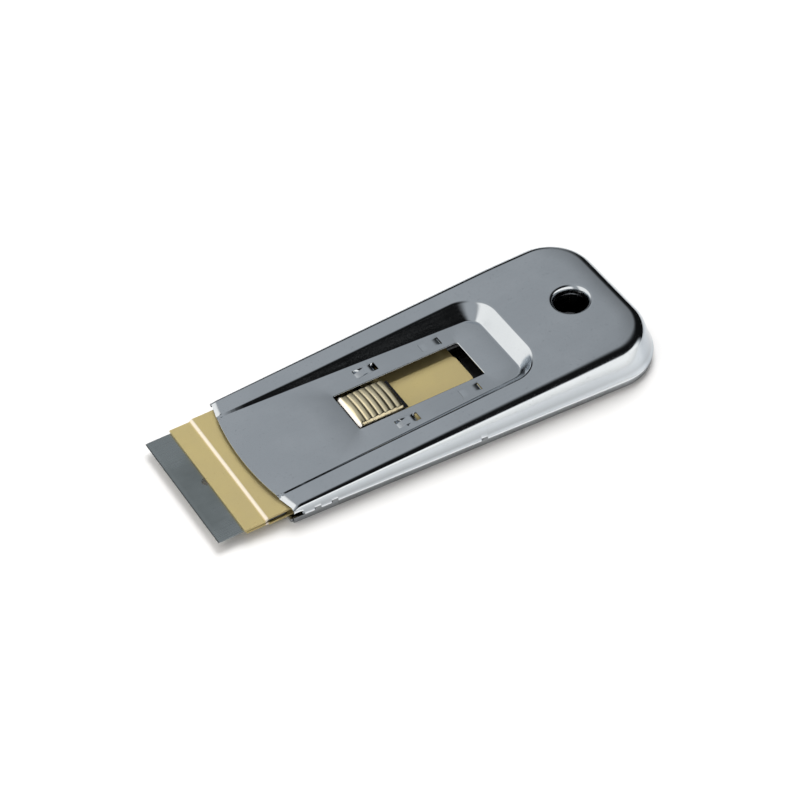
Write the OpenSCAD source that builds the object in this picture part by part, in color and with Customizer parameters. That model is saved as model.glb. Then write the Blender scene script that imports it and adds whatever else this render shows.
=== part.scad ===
// Retractable scraper for single-edge razor blades, in pressed sheet steel.
// Millimetres. +Z up, blade towards -X, hanging hole towards +X, carrier shown fully out.
// Modules work from the mouth of the casing (x = 0); in_frame() moves them to the part's origin.

/* [Blade] */
// Length of the cutting edge
blade_w = 38.1; // [30:0.1:40]
// Depth of the blade, from cutting edge to back
blade_d = 19; // [16:0.1:22]
// Thickness of the blade strip
blade_t = 0.23; // [0.2:0.01:0.4]
// Depth of the ground bevel at the cutting edge
bevel_d = 1.1; // [0.5:0.1:2]
// Diameter of the small hole in the blade
blade_hole_d = 2.5; // [2:0.1:4]
// Depth of the folded spine on the back of the blade
spine_d = 4.8; // [4:0.1:6]
// Thickness of the folded spine over all
spine_t = 1.0; // [0.8:0.05:1.2]

/* [Carrier] */
// Distance from the cutting edge to the mouth of the casing, carrier out
edge_out = 17; // [15:0.5:20]
// Cutting edge to the front of the clamp lip
lip_back = 7.1; // [6:0.1:9]
// Length of the flat clamp lip
lip_l = 5.75; // [4:0.05:6.5]
// Length of the joggle behind the lip
joggle_l = 0.75; // [0.6:0.05:1.2]
// Thickness of the two leaves
leaf_t = 0.6; // [0.4:0.05:0.7]
// How far the leaves stand out beside the blade
leaf_side = 0.45; // [0.2:0.05:0.6]
// How far the wide head of the carrier runs on behind the leaf rivets
head_past_rivet = 4.5; // [3.5:0.5:10]
// Width of the slide plate's tail
tail_w = 25; // [20:0.5:28]
// How far the tails of both leaves stop short of the slot's rear end
tail_short = 1.9; // [1:0.1:4]
// Width of the clamp leaf's tail, which shows in the slot
strip_w = 10.4; // [9:0.2:16]
// Diameter of the rivets' shanks
rivet_d = 3; // [2:0.1:4]
// Distance between the two leaf rivets
rivet_spacing = 18; // [14:0.5:22]

/* [Casing] */
// Length of the casing, from the mouth to the rear
casing_l = 115.2; // [105:0.1:130]
// How much wider the foot of the casing is at the rear than at the mouth
rear_flare = 9.6; // [6:0.2:14]
// Lean of the skirts at the mouth, from the foot to the shoulder
mouth_lean = 0.5; // [0.3:0.05:0.8]
// Height of the casing at the mouth
mouth_h = 5.0; // [4.8:0.1:6]
// Height of the casing over the hanging hole
rear_h = 10.35; // [9:0.05:14]
// Corner radius of the rear end, at the foot
rear_corner_r = 16; // [13:0.5:20]
// Radius of the curved front edge
mouth_r = 76; // [60:1:120]
// Thickness of the sheet
sheet = 0.55; // [0.4:0.05:0.65]
// Shoulder radius at the mouth
shoulder_mouth_r = 1.0; // [0.8:0.1:2]
// Shoulder radius at the rear
shoulder_rear_r = 3.8; // [2:0.1:5]
// Height of the skirt's lower edge at the mouth
seam_mouth = 2.5; // [2:0.05:2.8]
// Height of the skirt's lower edge at the rear
seam_rear = 2.3; // [2:0.05:3.5]

/* [Panel and slot] */
// Width of the sunken panel at the mouth
panel_mouth_w = 30.8; // [28:0.1:33]
// Width of the sunken panel at its rear
panel_rear_w = 23.9; // [20:0.1:28]
// Length of the sunken panel, from the mouth
panel_l = 76.3; // [70:0.1:85]
// Corner radius at the rear of the panel
panel_corner_r = 3.6; // [2:0.1:6]
// Lean of the panel's walls, in degrees from upright
wall_lean = 46; // [20:1:50]
// Mouth to the front of the thumb slot
slot_x = 30.3; // [26:0.1:36]
// Length of the thumb slot
slot_l = 37.2; // [32:0.1:44]
// Width of the thumb slot
slot_w = 13.1; // [10:0.1:15]
// Length of a lanced bump
lance_l = 5.6; // [4:0.1:7]
// Width of a lanced bump
lance_w = 2.7; // [2:0.1:3.5]
// Depth of the front pair of bumps
lance_front_depth = 1.05; // [0.9:0.05:1.1]
// Depth of the rear pair of bumps
lance_rear_depth = 0.5; // [0.3:0.05:0.6]

/* [Hanging hole] */
// Bore of the hanging hole
hole_d = 8.8; // [6:0.1:11]
// Centre of the hole from the rear end
hole_from_rear = 16.8; // [14:0.1:24]
// Depth of the drawn collar
collar_h = 2.6; // [1.6:0.1:4]
// Radius of the collar's rounded rim
collar_r = 0.9; // [0.7:0.05:1.5]

/* [Thumb button] */
// Length of the thumb button
button_l = 13.3; // [10:0.1:15]
// Height of the button's crown over the panel
button_crown = 0.9; // [0.1:0.05:1.2]
// How far the crown falls to the button's sides
crown_fall = 1.5; // [0.6:0.05:2]
// Number of ribs
rib_n = 7; // [5:1:9]
// Height of a rib
rib_h = 0.4; // [0.2:0.05:0.6]
// How far the button goes down
press_travel = 0.85; // [0.6:0.05:0.9]
// Thickness of the lock spring
spring_t = 0.3; // [0.2:0.05:0.4]

/* [Clearances] */
// Gap between nested sheets and seated pieces
seat_gap = 0.05; // [0.02:0.01:0.1]
// Gap under the sliding carrier
running_gap = 0.05; // [0.03:0.01:0.1]
// Gap between the button and each end of the slot
slot_end_gap = 0.4; // [0.3:0.1:1]
// Gap between the button and each side of the slot
slot_side_gap = 1.05; // [0.5:0.05:1.5]
// Gap between the carrier and the flanges of the base
carrier_gap = 0.55; // [0.3:0.05:0.8]

/* [Hidden] */
$fn = 32;
over = 1;
skin = 0.01;

steel_colour = [0.74, 0.75, 0.77];
dark_steel_colour = [0.46, 0.47, 0.5];
gold_colour = [0.8, 0.68, 0.4];
pale_gold_colour = [0.87, 0.82, 0.62];

// Casing: the top is one plane that rises from the mouth to the rear
leaf_w = blade_w + 2 * leaf_side;
nest = sheet + seat_gap;
mouth_w = leaf_w + 2 * (carrier_gap + sheet + nest + mouth_lean);
top_w = mouth_w - 2 * (shoulder_mouth_r + mouth_lean);
rear_w = mouth_w + rear_flare;
rear_cx = casing_l - rear_corner_r;
rear_cy = rear_w / 2 - rear_corner_r;
hole_x = casing_l - hole_from_rear;
slope = atan((rear_h - mouth_h) / hole_x);
nose_l = 3;
seam_slope = atan((seam_rear - seam_mouth) / casing_l);
foot_r = 0.35;
flange_over_seam = 1.1;
floor_top = sheet;
panel_top = mouth_h;

// Lean of the casing's walls for each millimetre of height, at the mouth and at the rear
mouth_in = mouth_lean / (mouth_h - shoulder_mouth_r);
ring_r = top_w / 2 - rear_cy;
rear_in = (rear_corner_r - ring_r - shoulder_rear_r) / (rear_h - shoulder_rear_r);
rear_reach = casing_l - nest - foot_r * rear_in;
mid_x = (rear_reach - edge_out) / 2;

// Heights of the carrier, from the floor of the base up
bead_h = 0.65;
bead_w = 3;
bead_y = tail_w / 2 - bead_w;
slide_z = floor_top + bead_h + running_gap;
tail_z = slide_z + leaf_t;
fold_t = (spine_t - blade_t) / 2;
blade_z = tail_z + fold_t;
lip_z = blade_z + blade_t + seat_gap;
spine_play = 0.35;
bridge_z = tail_z + spine_t + spine_play;

// Lengths of the carrier
edge_x = -edge_out;
lip_x = edge_x + lip_back;
joggle_x = lip_x + lip_l;
back_x = edge_x + blade_d;
step_x = back_x - spine_d - spine_play;
bridge_past_spine = 0.9;
drop_x = back_x + bridge_past_spine;
drop_l = 1.2;
slot_end_x = slot_x + slot_l;
tail_x = slot_end_x - tail_short;
travel = slot_l - button_l - 2 * slot_end_gap;
rivet_head_d = rivet_d * 1.75;
rivet_head_h = 0.6;
leaf_rivet_x = drop_x + drop_l + rivet_head_d;
head_x = leaf_rivet_x + head_past_rivet;
leaf_step = 1;

// Thumb button and spring
button_x = slot_x + slot_end_gap;
button_w = slot_w - 2 * slot_side_gap;
button_top = panel_top + button_crown;
crown_r = (pow(button_w / 2, 2) + pow(crown_fall, 2)) / (2 * crown_fall);
button_t = 0.5;
pad_w = 6;
pad_in = 2;
pad_rest = 0.25;
pad_z = tail_z + leaf_t + spring_t + press_travel + pad_rest;
valley_z = button_top - rib_h;
spring_top = pad_z - seat_gap / 2;
spring_w = 7;
spring_land = 4;
spring_rise_in = 1.5;
spring_past = 1.8;
bar_w = 10.6;
bar_gap = 0.15;
spring_rivet_ahead = 9;
spring_rivet_x = slot_x - spring_rivet_ahead;
ear_l = 2.2;
ear_play = 0.3;
ear_ahead = 0.2;
lance_front_back = 8.9;
lance_rear_back = 28;
lance_front_out = 3.8;
lance_rear_out = 3.1;
lance_front_x = slot_x + lance_front_back;
lance_rear_x = slot_x + lance_rear_back;
lance_front_y = slot_w / 2 + lance_front_out;
lance_rear_y = slot_w / 2 + lance_rear_out;
lance_slit = 0.4;
lance_hole = 0.9;
ear_reach = lance_front_y + lance_w / 2;
ear_x = lance_front_x - lance_slit - ear_ahead - ear_l;

// Crimp lugs along each side, and the notch at each front corner
lug_x = [9.1, 13.8, 56.3];
lug_l = 1.8;
lug_h = 0.7;
notch_x = 3.2;
notch_l = 3.3;
notch_r = 1.0;
notch_up = 0.25;

// Half width of the skirt's outside at a place along it and a height
function along(x) = (x + nose_l) / (rear_cx + nose_l);
function skirt_half(x, z) = (mouth_w + rear_flare * along(x)) / 2
    - z * (mouth_in + (rear_in - mouth_in) * along(x));
function seam_at(x) = seam_mouth + x * tan(seam_slope);

// Helpers
module in_frame() {
    translate([-mid_x, 0, 0]) children();
}

module top_plane() {
    translate([0, 0, mouth_h]) rotate([0, -slope, 0]) children();
}

module both_sides() {
    children();
    mirror([0, 1, 0]) children();
}

module foot_outline(inset, height = 0) {
    for (side = [-1, 1]) {
        translate([-nose_l, side * (mouth_w / 2 - inset - height * mouth_in)]) square(skin, center = true);
        translate([rear_cx, side * rear_cy]) circle(r = rear_corner_r - inset - height * rear_in, $fn = 64);
    }
}

// Wedge with drafted walls and rounded shoulders, every face set in by inset
module wedge(inset, foot_in = 0) {
    mouth_r_in = max(shoulder_mouth_r - inset, 0.1);
    mouth_shift = inset - (shoulder_mouth_r - mouth_r_in);
    rear_r_in = shoulder_rear_r - inset;
    hull() {
        top_plane() for (side = [-1, 1]) {
            translate([-nose_l, side * (top_w / 2 - mouth_shift), -shoulder_mouth_r - mouth_shift])
                sphere(r = mouth_r_in, $fn = 16);
            translate([rear_cx / cos(slope), side * rear_cy, -shoulder_rear_r])
                rotate_extrude($fn = 64) translate([ring_r, 0]) circle(r = rear_r_in, $fn = 24);
        }
        translate([0, 0, foot_in]) linear_extrude(skin) foot_outline(inset, foot_in);
        linear_extrude(skin) foot_outline(inset + foot_in);
    }
}

// Space over the sunken panel; grown by the sheet it gives the panel's own outside
module panel_space(grow = 0) {
    lean = tan(wall_lean);
    wall = grow / cos(wall_lean);
    rise = rear_h + over - panel_top + grow;
    corner_r = panel_corner_r + wall - grow * lean;
    translate([0, 0, panel_top - grow]) hull() for (side = [-1, 1]) {
        translate([panel_l - panel_corner_r, side * (panel_rear_w / 2 - panel_corner_r)])
            cylinder(r1 = corner_r, r2 = corner_r + rise * lean, h = rise, $fn = 48);
        translate([-nose_l, side * (panel_mouth_w / 2 + wall)]) cube([skin, skin, rise], center = false);
    }
}

// Everything below a plane that rises from one height at the mouth to another at the rear
module below(height, angle) {
    translate([0, 0, height]) rotate([0, -angle, 0])
        translate([-edge_out - over, -rear_w, -3 * rear_h]) cube([2 * casing_l, 2 * rear_w, 3 * rear_h]);
}

module curved_mouth() {
    translate([mouth_r, 0, -over]) cylinder(r = mouth_r, h = 3 * rear_h, $fn = 128);
}

// Trough pressed down out of the panel, cut free at both ends
module lance_trough(depth) {
    trough_r = (pow(lance_w / 2, 2) + pow(depth, 2)) / (2 * depth);
    rotate([90, 0, 90]) linear_extrude(lance_l) intersection() {
        translate([0, trough_r - depth]) difference() {
            circle(r = trough_r + sheet);
            circle(r = trough_r);
        }
        translate([-lance_w, -depth - 2 * sheet]) square([2 * lance_w, depth + 2 * sheet - skin]);
    }
}

module lance_window() {
    translate([-lance_slit, -lance_w / 2, -sheet - over])
        cube([lance_l + lance_slit + lance_hole, lance_w, sheet + 2 * over]);
}

module at_lances() {
    both_sides() {
        translate([lance_front_x, lance_front_y, panel_top]) children(0);
        translate([lance_rear_x, lance_rear_y, panel_top]) children(1);
    }
}

// Rim of the hanging hole, rolled in and drawn down into a collar
module hole_collar() {
    bore_r = hole_d / 2;
    lap = 0.5;
    rotate_extrude($fn = 64) {
        translate([bore_r + collar_r, -collar_r]) intersection() {
            difference() {
                circle(r = collar_r);
                circle(r = collar_r - sheet);
            }
            translate([-collar_r, 0]) square(collar_r);
        }
        translate([bore_r, -collar_h]) square([sheet, collar_h - collar_r]);
        translate([bore_r + collar_r, -sheet * 0.8]) square([lap, sheet * 0.6]);
    }
}

module lug_notches() {
    for (x = lug_x) translate([x - lug_l / 2, -rear_w, 0])
        cube([lug_l, 2 * rear_w, seam_at(x) + lug_h]);
}

// Lugs of the base's flange, bent out into the notches of the skirt
module crimp_lugs() {
    play = 0.2;
    both_sides() for (x = lug_x) {
        z = seam_at(x);
        translate([x - lug_l / 2 + play, skirt_half(x, z) - nest - play, z - play])
            cube([lug_l - 2 * play, sheet + play, lug_h]);
    }
}

// Two long beads pressed up out of the floor, on which the carrier runs
module runner_beads(r, low, high) {
    front = notch_x + bead_w;
    bead_l = tail_x + travel - front - bead_w;
    both_sides() translate([front, bead_y, low]) {
        for (x = [0, bead_l]) translate([x, 0, 0]) cylinder(r = r, h = high - low);
        translate([0, -r, 0]) cube([bead_l, 2 * r, high - low]);
    }
}

module corner_notch() {
    rotate([90, 0, 0]) {
        for (x = [notch_x, notch_x + notch_l - 2 * notch_r])
            translate([x, seam_mouth + notch_up, -rear_w]) cylinder(r = notch_r, h = 2 * rear_w);
        translate([notch_x, seam_mouth + notch_up - notch_r, -rear_w])
            cube([notch_l - 2 * notch_r, 2 * notch_r, 2 * rear_w]);
    }
}

// Strip of sheet bent along a path of [x, z] points on its underside, across width w
module bent_strip(path, t, w) {
    upper = [for (i = [len(path) - 1:-1:0]) path[i] + [0, t]];
    translate([0, w / 2, 0]) rotate([90, 0, 0]) linear_extrude(w) polygon(concat(path, upper));
}

// Plan of a leaf: wide head, then a narrower tail with round corners
module leaf_plan(front, head_end, tail_half, tail_end) {
    corner = 1.5;
    translate([front, -leaf_w / 2]) square([head_end - front, leaf_w]);
    translate([head_end - over, -tail_half]) square([tail_end - corner - head_end + over, 2 * tail_half]);
    translate([tail_end - corner - over, corner - tail_half])
        square([corner + over, 2 * (tail_half - corner)]);
    for (side = [-1, 1]) translate([tail_end - corner, side * (tail_half - corner)]) circle(r = corner);
}

module rivet(under, upper) {
    cone = rivet_head_h * 0.8;
    translate([0, 0, under]) cylinder(d = rivet_d - 2 * seat_gap, h = upper - under);
    translate([0, 0, upper]) cylinder(d1 = rivet_head_d, d2 = rivet_head_d - 2 * cone, h = rivet_head_h);
}

module at_leaf_rivets() {
    for (side = [-1, 1]) translate([leaf_rivet_x, side * rivet_spacing / 2, 0]) children();
}

// Pieces of the casing
module top_shell() color(steel_colour) in_frame() {
    difference() {
        intersection() {
            union() {
                difference() {
                    wedge(0);
                    wedge(sheet);
                }
                intersection() {
                    wedge(0);
                    panel_space(sheet);
                }
            }
            curved_mouth();
        }
        panel_space();
        below(seam_mouth, seam_slope);
        lug_notches();
        corner_notch();
        translate([slot_x, -slot_w / 2, 0]) cube([slot_l, slot_w, rear_h]);
        at_lances() {
            lance_window();
            lance_window();
        }
        top_plane() translate([hole_x / cos(slope), 0, -rear_h / 2])
            cylinder(r = hole_d / 2 + collar_r, h = rear_h, $fn = 64);
    }
    at_lances() {
        lance_trough(lance_front_depth);
        lance_trough(lance_rear_depth);
    }
    top_plane() translate([hole_x / cos(slope), 0, 0]) hole_collar();
}

module base_shell() color(dark_steel_colour) in_frame() {
    hem_ahead = 0.6;
    front_x = notch_x - hem_ahead;
    hem_r = bead_h * 0.8;
    hem_w = mouth_w - 2 * nest - 2 * foot_r;
    difference() {
        intersection() {
            wedge(nest, foot_r);
            below(seam_mouth + flange_over_seam, seam_slope);
            translate([front_x, -rear_w, 0]) cube([casing_l, 2 * rear_w, rear_h]);
        }
        intersection() {
            wedge(nest + sheet);
            translate([-over, -rear_w, floor_top]) cube([casing_l + 2 * over, 2 * rear_w, rear_h]);
        }
        translate([0, -rear_w, seam_mouth + notch_up - notch_r])
            cube([notch_x + notch_l - notch_r, 2 * rear_w, rear_h]);
        translate([hole_x, 0, -over]) cylinder(d = hole_d + 2 * collar_r, h = 2 * over + sheet, $fn = 64);
        runner_beads(bead_w / 2 - sheet, -over, bead_h);
    }
    translate([front_x, hem_w / 2, hem_r]) rotate([90, 0, 0]) cylinder(r = hem_r, h = hem_w);
    difference() {
        runner_beads(bead_w / 2, sheet / 2, floor_top + bead_h);
        runner_beads(bead_w / 2 - sheet, -over, bead_h);
    }
    crimp_lugs();
}

// Pieces of the carrier
module slide_plate() color(gold_colour) in_frame() {
    front = lip_x + leaf_step / 2;
    path = [[front, slide_z + fold_t], [step_x - fold_t, slide_z + fold_t],
            [step_x, slide_z], [tail_x, slide_z]];
    difference() {
        intersection() {
            bent_strip(path, leaf_t, leaf_w);
            linear_extrude(rear_h) leaf_plan(front, head_x, tail_w / 2, tail_x);
        }
        at_leaf_rivets() cylinder(d = rivet_d, h = rear_h);
    }
}

module clamp_leaf() color(gold_colour) in_frame() {
    path = [[lip_x, lip_z], [joggle_x, lip_z], [joggle_x + joggle_l, bridge_z], [drop_x, bridge_z],
            [drop_x + drop_l, tail_z], [tail_x, tail_z]];
    difference() {
        intersection() {
            bent_strip(path, leaf_t, leaf_w);
            linear_extrude(rear_h) leaf_plan(lip_x, head_x - leaf_step, strip_w / 2, tail_x);
        }
        at_leaf_rivets() cylinder(d = rivet_d, h = rear_h);
        translate([spring_rivet_x, 0, 0]) cylinder(d = rivet_d, h = rear_h);
    }
}

module leaf_rivets() color(gold_colour) in_frame() {
    at_leaf_rivets() rivet(slide_z, tail_z + leaf_t);
}

module blade() color(steel_colour) in_frame() {
    keen = 0.02;
    mid_z = blade_t / 2;
    profile = [[edge_x, mid_z - keen / 2], [edge_x + bevel_d, 0], [back_x - fold_t, 0],
               [back_x - fold_t, blade_t], [edge_x + bevel_d, blade_t], [edge_x, mid_z + keen / 2]];
    difference() {
        translate([0, blade_w / 2, blade_z]) rotate([90, 0, 0]) linear_extrude(blade_w) polygon(profile);
        translate([lip_x, 0, 0]) cylinder(d = blade_hole_d, h = rear_h);
    }
}

module blade_spine() color(dark_steel_colour) in_frame() {
    translate([back_x - spine_d, -blade_w / 2, tail_z]) difference() {
        cube([spine_d, blade_w, spine_t]);
        translate([-over, -over, fold_t]) cube([spine_d - fold_t + over, blade_w + 2 * over, blade_t]);
    }
}

// Leaf spring under the thumb button, with a cross bar behind it; its ears stand before the front bumps
module lock_spring() color(dark_steel_colour) in_frame() {
    low = tail_z + leaf_t;
    high = spring_top - spring_t;
    button_end = button_x + button_l;
    spring_end = button_end + spring_past;
    path = [[spring_rivet_x - spring_land, low], [spring_rivet_x + spring_land, low],
            [button_x + spring_rise_in, high], [spring_end, high]];
    difference() {
        bent_strip(path, spring_t, spring_w);
        translate([spring_rivet_x, 0, 0]) cylinder(d = rivet_d, h = rear_h);
    }
    translate([ear_x, -ear_reach, high]) cube([ear_l, 2 * ear_reach, spring_t]);
    translate([button_end + bar_gap, -bar_w / 2, high]) cube([spring_past - bar_gap, bar_w, spring_t]);
}

module spring_rivet() color(gold_colour) in_frame() {
    translate([spring_rivet_x, 0, 0]) rivet(tail_z, tail_z + leaf_t + spring_t);
}

// Ribbed thumb piece: a wavy profile turned about a long axis far below it, so that it is crowned
module thumb_button() color(pale_gold_colour) in_frame() {
    pitch = button_l / rib_n;
    rib_r = (pow(pitch / 2, 2) + pow(rib_h, 2)) / (2 * rib_h);
    half_angle = asin(button_w / 2 / crown_r);
    turn_r = crown_r - rib_h;
    difference() {
        translate([button_x, 0, button_top - crown_r]) rotate([0, 90, 0]) rotate([0, 0, 180 - half_angle])
            rotate_extrude(angle = 2 * half_angle, $fn = 96) {
                translate([turn_r - button_t, 0]) square([button_t, button_l]);
                intersection() {
                    translate([turn_r - skin, 0]) square([2 * rib_h, button_l]);
                    for (i = [0:rib_n - 1])
                        translate([crown_r - rib_r, (i + 0.5) * pitch]) circle(r = rib_r);
                }
            }
        translate([ear_x - ear_play, -button_w, 0])
            cube([ear_l + 2 * ear_play, 2 * button_w, spring_top + seat_gap]);
    }
    translate([button_x + pad_in, -pad_w / 2, pad_z])
        cube([button_l - 2 * pad_in, pad_w, valley_z - button_t / 2 - pad_z]);
}

top_shell();
base_shell();
slide_plate();
clamp_leaf();
leaf_rivets();
blade();
blade_spine();
lock_spring();
spring_rivet();
thumb_button();
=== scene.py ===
import bmesh
import bpy
import math
from mathutils import Matrix, Vector


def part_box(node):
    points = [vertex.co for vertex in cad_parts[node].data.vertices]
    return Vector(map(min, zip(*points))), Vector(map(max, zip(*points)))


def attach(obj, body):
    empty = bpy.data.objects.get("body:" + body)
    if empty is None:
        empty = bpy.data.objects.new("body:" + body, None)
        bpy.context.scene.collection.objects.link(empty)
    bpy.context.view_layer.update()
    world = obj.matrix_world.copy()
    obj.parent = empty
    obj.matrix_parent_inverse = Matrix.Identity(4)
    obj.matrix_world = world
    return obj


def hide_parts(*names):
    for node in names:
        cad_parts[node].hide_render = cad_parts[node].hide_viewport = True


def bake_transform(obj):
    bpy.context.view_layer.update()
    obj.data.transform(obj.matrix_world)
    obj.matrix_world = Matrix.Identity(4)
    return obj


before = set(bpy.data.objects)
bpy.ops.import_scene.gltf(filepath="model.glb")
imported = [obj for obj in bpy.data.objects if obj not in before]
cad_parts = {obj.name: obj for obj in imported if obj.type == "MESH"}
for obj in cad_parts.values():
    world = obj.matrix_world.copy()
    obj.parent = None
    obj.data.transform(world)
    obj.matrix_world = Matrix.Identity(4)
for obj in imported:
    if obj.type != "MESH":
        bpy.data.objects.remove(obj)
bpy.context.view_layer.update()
scene = bpy.context.scene
mm = 0.001
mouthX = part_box("top_shell")[0].x  # middle of the casing's mouth: pieces are drawn from here, in mm
print("frame loaded, mouth at", round(mouthX / mm, 2), "mm")


# small helpers for shapes

def between(a, b, t):
    return a + (b - a) * t


def smoothStep(low, high, value):
    t = max(0.0, min(1.0, (value - low) / (high - low)))
    return t * t * (3 - 2 * t)


def roundedPath(corners, radius, steps=6, most=0.48):
    # a bent line in side view, with an arc at each corner that takes at most this share of either side
    corners = [Vector(c) for c in corners]
    points = [corners[0]]
    for before, here, after in zip(corners, corners[1:], corners[2:]):
        back = (before - here).normalized()
        ahead = (after - here).normalized()
        half = back.angle(ahead) / 2
        room = most * min((before - here).length, (after - here).length)
        reach = min(radius / math.tan(half), room)
        bend = reach * math.tan(half)
        middle = here + (back + ahead).normalized() * (bend / math.sin(half))
        first = here + back * reach - middle
        last = here + ahead * reach - middle
        sweep = first.angle(last)
        for k in range(steps + 1):
            t = k / steps
            turn = first * math.sin((1 - t) * sweep) + last * math.sin(t * sweep)
            points.append(middle + turn / math.sin(sweep))
    points.append(corners[-1])
    return points


def pressSheet(bm, across, along, place):
    # a flat blank pressed to shape: place(i, j) says where each corner of the grid goes
    blank = bmesh.ops.create_grid(bm, x_segments=across, y_segments=along, size=1.0)["verts"]
    for v in blank:
        i = round((v.co.x + 1) / 2 * across)
        j = round((v.co.y + 1) / 2 * along)
        v.co = place(i, j)
    return blank


def drawLoop(bm, edges, place):
    # carries an open edge on to a new line, and gives that line's edges
    out = bmesh.ops.extrude_edge_only(bm, edges=edges)["geom"]
    fresh = {g for g in out if isinstance(g, bmesh.types.BMVert)}
    for v in fresh:
        v.co = place(v.co)
    return [g for g in out if isinstance(g, bmesh.types.BMEdge) and fresh.issuperset(g.verts)]


def chain(bm, points, closed=False):
    verts = [bm.verts.new(p) for p in points]
    pairs = list(zip(verts, verts[1:]))
    if closed:
        pairs.append((verts[-1], verts[0]))
    return verts, [bm.edges.new(pair) for pair in pairs]


def roundedLoop(lowX, highX, lowY, highY, radius, steps, z):
    points = []
    for turn, (x, y) in enumerate(((highX, highY), (lowX, highY), (lowX, lowY), (highX, lowY))):
        middleX = x - math.copysign(radius, x - (lowX + highX) / 2)
        middleY = y - math.copysign(radius, y - (lowY + highY) / 2)
        for k in range(steps + 1):
            a = math.radians(90) * (turn + k / steps)
            points.append((middleX + radius * math.cos(a), middleY + radius * math.sin(a), z))
    return points


def rimPoint(c, low, high, reach, z):
    # the point at some distance from a box seen from above, on the side where c is
    spine = Vector((min(max(c.x, low[0]), high[0]), min(max(c.y, low[1]), high[1]), z))
    away = Vector((c.x - spine.x, c.y - spine.y, 0)).normalized()
    return spine + away * reach


def faceUp(bm, probe):
    # all faces agree, and the one nearest the probe looks up
    bmesh.ops.recalc_face_normals(bm, faces=bm.faces[:])
    nearest = min(bm.faces, key=lambda f: (f.calc_center_median() - Vector(probe)).length)
    if nearest.normal.z < 0:
        bmesh.ops.reverse_faces(bm, faces=bm.faces[:])


def roundEdges(bm, width, segments=2, degrees=50):
    edges = [e for e in bm.edges if e.is_manifold and e.calc_face_angle() > math.radians(degrees)]
    bmesh.ops.bevel(bm, geom=edges, offset=width, offset_type="OFFSET", segments=segments, profile=0.5,
                    affect="EDGES", material=-1, clamp_overlap=True)


def finishPiece(bm, name, body, nodes, material, degrees=34):
    for f in bm.faces:
        f.smooth = True
    for e in bm.edges:
        e.smooth = e.is_manifold and e.calc_face_angle() < math.radians(degrees)
    place = Matrix.Translation((mouthX, 0, 0)) @ Matrix.Scale(mm, 4)
    bmesh.ops.transform(bm, matrix=place, verts=bm.verts[:])
    mesh = bpy.data.meshes.new(name)
    bm.to_mesh(mesh)
    bm.free()
    mesh.materials.append(material)
    piece = bpy.data.objects.new(name, mesh)
    scene.collection.objects.link(piece)
    if body:
        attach(piece, body)
    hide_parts(*nodes)
    print("made", name, "with", len(mesh.polygons), "faces")
    return piece


# node helpers

def addNode(tree, kind, inputs=None, **settings):
    node = tree.nodes.new(kind)
    for key, value in settings.items():
        setattr(node, key, value)
    for key, value in (inputs or {}).items():
        if isinstance(value, bpy.types.NodeSocket):
            tree.links.new(value, node.inputs[key])
        else:
            node.inputs[key].default_value = value
    return node


def maths(tree, operation, a, b=0.0):
    return addNode(tree, "ShaderNodeMath", {0: a, 1: b}, operation=operation).outputs[0]


def ramp(tree, value, low, high, toLow=0.0, toHigh=1.0):
    names = {"Value": value, "From Min": low, "From Max": high, "To Min": toLow, "To Max": toHigh}
    return addNode(tree, "ShaderNodeMapRange", names, interpolation_type="SMOOTHSTEP").outputs[0]


def mixColours(tree, factor, a, b):
    names = {"Factor": factor, "A": a, "B": b}
    node = addNode(tree, "ShaderNodeMix", data_type="RGBA")
    for key, value in names.items():
        socket = next(s for s in node.inputs if s.name == key and s.enabled)
        if isinstance(value, bpy.types.NodeSocket):
            tree.links.new(value, socket)
        else:
            socket.default_value = value
    return next(s for s in node.outputs if s.enabled)


def newGroup(name, inputs, outputs):
    group = bpy.data.node_groups.new(name, "ShaderNodeTree")
    for title, value in inputs.items():
        socket = group.interface.new_socket(name=title, in_out="INPUT", socket_type="NodeSocketFloat")
        socket.default_value = value
    for title in outputs:
        group.interface.new_socket(name=title, in_out="OUTPUT", socket_type="NodeSocketFloat")
    return group, group.nodes.new("NodeGroupInput"), group.nodes.new("NodeGroupOutput")


# which part of each noise shows as marks, and how deep the lines and pits are
wear = {"cloud": (0.35, 0.65), "pit": (0.62, 0.74), "grain": (0.3, 0.7), "depth": 0.00002}


def rolledGrainGroup():
    # fine lines left by the rolling mill, along the piece
    group, given, out = newGroup("rolledGrain", {"Lines": 900.0, "Stretch": 0.03}, ["Grain"])
    place = addNode(group, "ShaderNodeTexCoord").outputs["Object"]
    stretch = addNode(group, "ShaderNodeCombineXYZ", {0: given.outputs["Stretch"], 1: 1.0, 2: 1.0})
    drawn = addNode(group, "ShaderNodeVectorMath", {0: place, 1: stretch.outputs[0]}, operation="MULTIPLY")
    noise = addNode(group, "ShaderNodeTexNoise",
                    {"Vector": drawn.outputs[0], "Scale": given.outputs["Lines"], "Detail": 4.0,
                     "Roughness": 0.6})
    group.links.new(noise.outputs[0], out.inputs["Grain"])
    return group


def handlingGroup():
    # cloudy marks from handling, and fine pits in the plating
    group, given, out = newGroup("handlingMarks", {"Clouds": 70.0, "Pits": 1600.0}, ["Cloud", "Pit"])
    place = addNode(group, "ShaderNodeTexCoord").outputs["Object"]
    cloud = addNode(group, "ShaderNodeTexNoise",
                    {"Vector": place, "Scale": given.outputs["Clouds"], "Detail": 5.0, "Roughness": 0.55})
    pit = addNode(group, "ShaderNodeTexNoise",
                  {"Vector": place, "Scale": given.outputs["Pits"], "Detail": 2.0, "Roughness": 0.5})
    group.links.new(ramp(group, cloud.outputs[0], *wear["cloud"]), out.inputs["Cloud"])
    group.links.new(ramp(group, pit.outputs[0], *wear["pit"]), out.inputs["Pit"])
    return group


rolledGrain = rolledGrainGroup()
handlingMarks = handlingGroup()


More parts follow.
